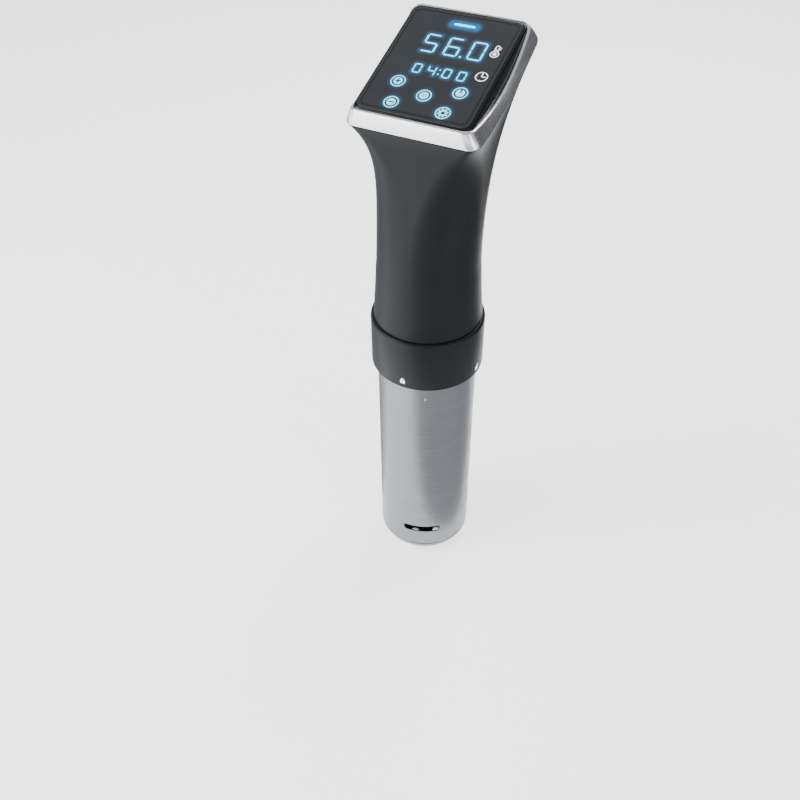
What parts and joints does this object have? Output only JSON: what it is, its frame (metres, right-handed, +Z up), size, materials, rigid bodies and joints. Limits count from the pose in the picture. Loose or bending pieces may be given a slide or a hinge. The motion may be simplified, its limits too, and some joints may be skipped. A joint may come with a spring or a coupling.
{
  "type": "sous vide circulator",
  "caption": "Stick immersion circulator with a tilted touch display in a silver ring, a flared black body, a twist-off steel sleeve with water slots, and a rear pot clamp.",
  "frame": {"origin": "middle of the flat underside of the sleeve end cap, on the tube axis", "axes": "+Z up the tube, -Y the front that the display faces, +X to the right seen from the front"},
  "size_m": [0.0704, 0.0838, 0.3357],
  "materials": {
    "body_plastic": "soft-touch charcoal black",
    "gloss_black": "polished black",
    "display_glass": "dark grey smoked touch glass",
    "brushed_silver": "fine brushed, bright",
    "sleeve_steel": "brushed round the tube",
    "inner_steel": "plain",
    "bronze": "sintered",
    "copper": "plain",
    "rubber": "matt",
    "silicone": "red silicone",
    "circuit_board": "green solder mask",
    "inner_plastic": "moulded",
    "natural_plastic": "unpigmented",
    "magnet": "ferrite",
    "light_guide": "clear light guide",
    "aluminium": "extruded"
  },
  "bodies": {
    "root": {"upper_housing": "body_plastic", "cord_gland": "rubber", "head_frame": "brushed_silver", "head_carrier": "inner_plastic", "display_block": "gloss_black", "display_gasket": "rubber", "display_glass": "display_glass", "display_board": "circuit_board", "temperature_digits": "natural_plastic", "time_digits": "natural_plastic", "status_light": "light_guide", "touch_film": "copper", "control_board": "circuit_board", "board_frame": "natural_plastic", "buzzer": "inner_plastic", "inner_chassis": "inner_plastic", "power_board": "circuit_board", "relay": "gloss_black", "transformer": "inner_plastic", "heat_sink": "aluminium", "capacitor": "gloss_black", "motor_case": "inner_steel", "motor_upper_bush": "bronze", "motor_end_cap": "inner_plastic", "motor_lower_bush": "bronze", "motor_magnet": "magnet", "motor_damper": "rubber", "motor_screw_1": "inner_steel", "motor_screw_2": "inner_steel", "shaft_guide": "natural_plastic", "lower_bush": "bronze", "heater_coil": "inner_steel", "base_plate": "inner_steel", "base_seal": "silicone", "base_screw_1": "inner_steel", "base_screw_2": "inner_steel", "shaft_seal": "rubber", "feedthrough_seal": "silicone", "thermal_cutout": "inner_plastic", "temperature_probe": "inner_steel", "level_sensor": "inner_steel", "bayonet_spigot": "inner_plastic", "collar": "body_plastic", "sleeve_seal": "silicone", "clamp_bracket": "body_plastic", "clamp_screw_1": "inner_steel", "clamp_screw_2": "inner_steel", "wall_pad": "rubber", "clamp_pin": "inner_steel", "clamp_spring": "inner_steel"},
    "sleeve": {"steel_sleeve": "sleeve_steel", "sleeve_end_cap": "sleeve_steel"},
    "rotor": {"motor_rotor": "copper", "motor_shaft": "inner_steel", "shaft_coupling": "bronze", "drive_shaft": "inner_steel", "impeller": "inner_plastic", "impeller_nut": "inner_steel"},
    "lever": {"clamp_lever": "body_plastic", "lever_pad": "rubber"}
  },
  "joints": [
    {"name": "sleeve_twist", "type": "hinge", "parent": "root", "child": "sleeve", "pos_m": [0, 0, 0.15], "axis": [0, 0, 1], "range_deg": [-21.5, 64]},
    {"name": "impeller_spin", "type": "hinge", "parent": "root", "child": "rotor", "pos_m": [0, 0, 0.15], "axis": [0, 0, 1], "continuous": true},
    {"name": "clamp_open", "type": "hinge", "parent": "root", "child": "lever", "pos_m": [0, 0.0445, 0.17], "axis": [1, 0, 0], "range_deg": [0, 16], "stiffness_Nm_per_rad": 0.6, "springref_deg": -20.05, "deforming": ["clamp_spring"]}
  ]
}
